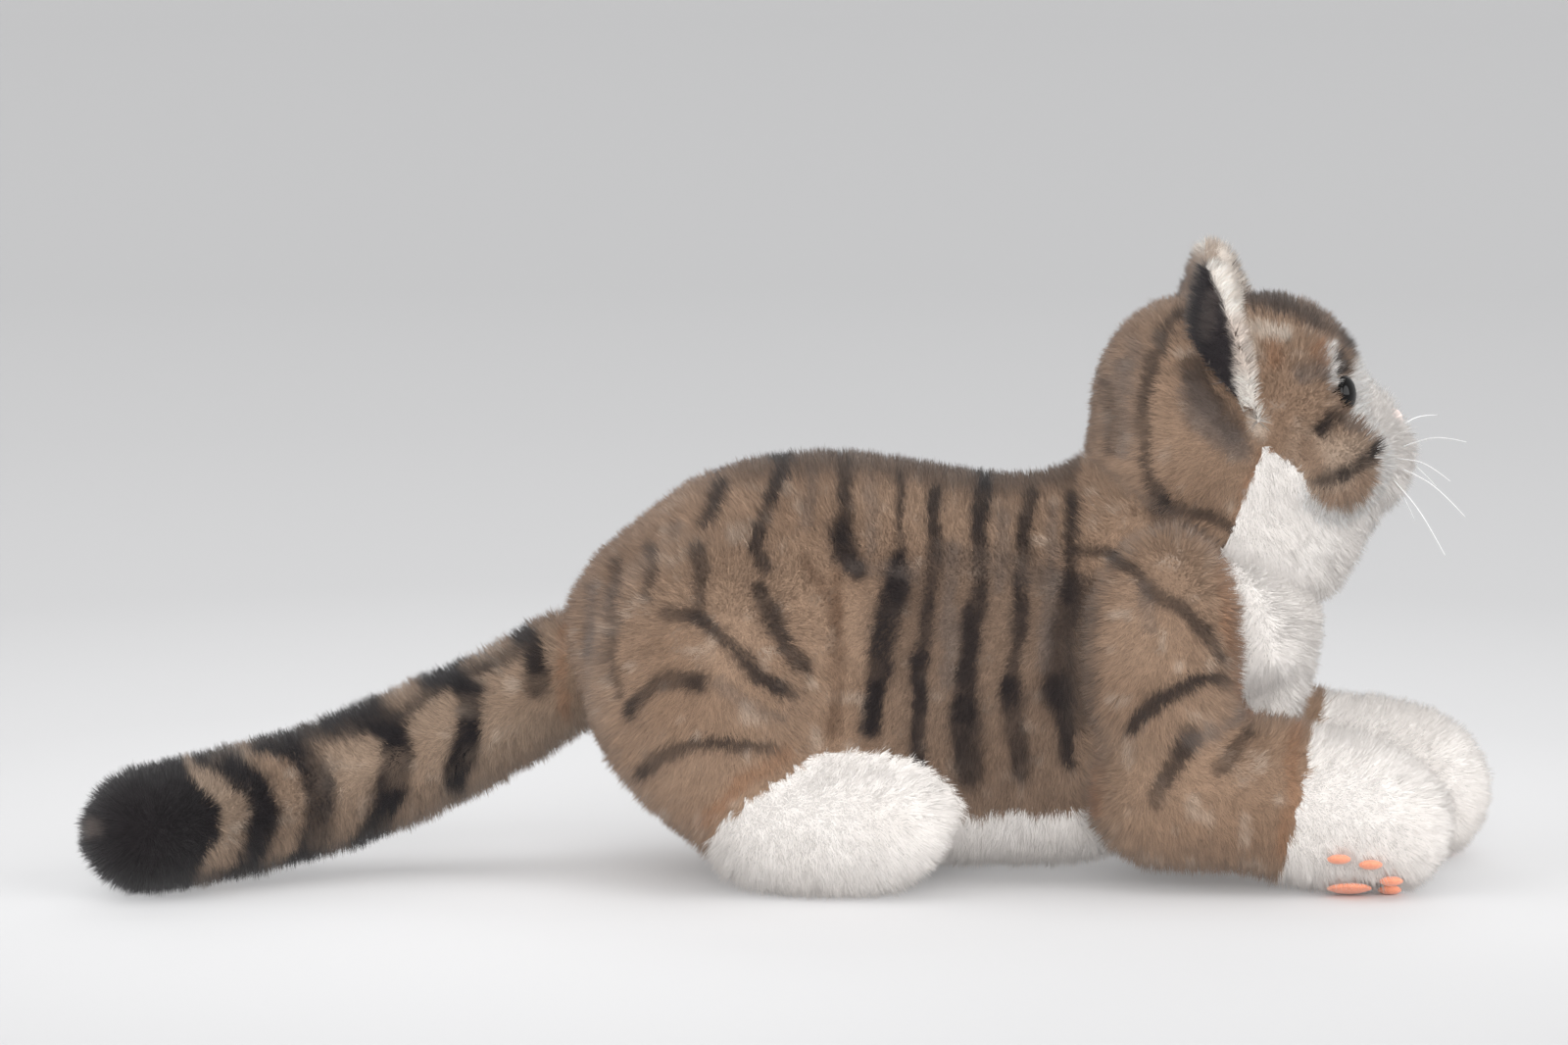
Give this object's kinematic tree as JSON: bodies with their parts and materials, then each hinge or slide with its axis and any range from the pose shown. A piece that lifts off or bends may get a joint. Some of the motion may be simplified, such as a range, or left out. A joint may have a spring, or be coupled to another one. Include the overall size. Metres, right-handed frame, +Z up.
{
  "type": "plush tabby cat",
  "caption": "Soft stuffed tabby cat lying on its belly with head up, forelegs stretched forward and tail laid behind; head, ears, tail and forelegs flex.",
  "frame": {"origin": "middle of the cat's footprint, on the plane that its feet rest on", "axes": "+X the way the cat faces, +Y to the cat's left, +Z up"},
  "size_m": [0.5034, 0.1396, 0.2251],
  "materials": {
    "tabby_plush": "short dense pile, matt, tan with soft dark tabby stripes",
    "white_plush": "short dense pile, matt, warm white",
    "ear_plush": "short pile, dark brown-grey on the outside of the ear",
    "pad_fabric": "salmon short-nap fabric, matt",
    "nose_fabric": "dusty pink satin-stitched fabric",
    "thread": "grey-brown sewing thread",
    "stuffing": "white polyester fibre",
    "eye_plastic": "glossy black moulded dome",
    "washer_plastic": "natural nylon",
    "whisker_nylon": "clear-white nylon filament"
  },
  "bodies": {
    "torso": {"torso_cover": "tabby_plush", "belly_panel": "white_plush", "chest_bib": "white_plush", "torso_stuffing": "stuffing", "thigh_cover_right": "tabby_plush", "hind_foot_right": "white_plush", "hind_stuffing_right": "stuffing", "thigh_cover_left": "tabby_plush", "hind_foot_left": "white_plush", "hind_stuffing_left": "stuffing"},
    "head": {"head_cover": "tabby_plush", "throat_panel": "white_plush", "head_stuffing": "stuffing", "muzzle_pad": "white_plush", "nose": "nose_fabric", "mouth_stitch": "thread", "eye_right": "eye_plastic", "eye_washer_right": "washer_plastic", "eye_left": "eye_plastic", "eye_washer_left": "washer_plastic", "whisker_right_1": "whisker_nylon", "whisker_right_2": "whisker_nylon", "whisker_right_3": "whisker_nylon", "whisker_right_4": "whisker_nylon", "whisker_left_1": "whisker_nylon", "whisker_left_2": "whisker_nylon", "whisker_left_3": "whisker_nylon", "whisker_left_4": "whisker_nylon"},
    "tail_root": {"tail_root_knot": "thread"},
    "tail": {"tail_cover": "tabby_plush", "tail_stuffing": "stuffing"},
    "ear_right": {"ear_cover_right": "ear_plush", "ear_lining_right": "white_plush"},
    "ear_left": {"ear_cover_left": "ear_plush", "ear_lining_left": "white_plush"},
    "foreleg_right": {"foreleg_cover_right": "tabby_plush", "forepaw_cover_right": "white_plush", "foreleg_stuffing_right": "stuffing", "paw_pad_right": "pad_fabric", "toe_pad_1_right": "pad_fabric", "toe_pad_2_right": "pad_fabric", "toe_pad_3_right": "pad_fabric", "toe_pad_4_right": "pad_fabric"},
    "foreleg_left": {"foreleg_cover_left": "tabby_plush", "forepaw_cover_left": "white_plush", "foreleg_stuffing_left": "stuffing", "paw_pad_left": "pad_fabric", "toe_pad_1_left": "pad_fabric", "toe_pad_2_left": "pad_fabric", "toe_pad_3_left": "pad_fabric", "toe_pad_4_left": "pad_fabric"}
  },
  "joints": [
    {"name": "head_turn", "type": "hinge", "parent": "torso", "child": "head", "pos_m": [0.14474, 0, 0.1257], "axis": [0.5358, 0, 0.8443], "range_deg": [-20, 20], "stiffness_Nm_per_rad": 0.5},
    {"name": "tail_lift", "type": "hinge", "parent": "torso", "child": "tail_root", "pos_m": [-0.08526, 0, 0.072], "axis": [0, 1, 0], "range_deg": [0, 30], "stiffness_Nm_per_rad": 0.3},
    {"name": "tail_swing", "type": "hinge", "parent": "tail_root", "child": "tail", "pos_m": [-0.08526, 0, 0.072], "axis": [0, 0, 1], "range_deg": [-25, 25], "stiffness_Nm_per_rad": 0.3},
    {"name": "ear_fold_right", "type": "hinge", "parent": "head", "child": "ear_right", "pos_m": [0.15024, -0.0305, 0.185], "axis": [-0.0989, 0.6525, 0.7513], "range_deg": [-10, 15], "stiffness_Nm_per_rad": 0.05},
    {"name": "ear_fold_left", "type": "hinge", "parent": "head", "child": "ear_left", "pos_m": [0.15024, 0.0305, 0.185], "axis": [0.4296, 0.5009, -0.7513], "range_deg": [-10, 15], "stiffness_Nm_per_rad": 0.05},
    {"name": "foreleg_lift_right", "type": "hinge", "parent": "torso", "child": "foreleg_right", "pos_m": [0.12924, -0.046, 0.1024], "axis": [0, -1, 0], "range_deg": [0, 18], "stiffness_Nm_per_rad": 0.8, "springref_deg": -11.46},
    {"name": "foreleg_lift_left", "type": "hinge", "parent": "torso", "child": "foreleg_left", "pos_m": [0.12924, 0.046, 0.1024], "axis": [0, -1, 0], "range_deg": [0, 18], "stiffness_Nm_per_rad": 0.8, "springref_deg": -11.46}
  ]
}
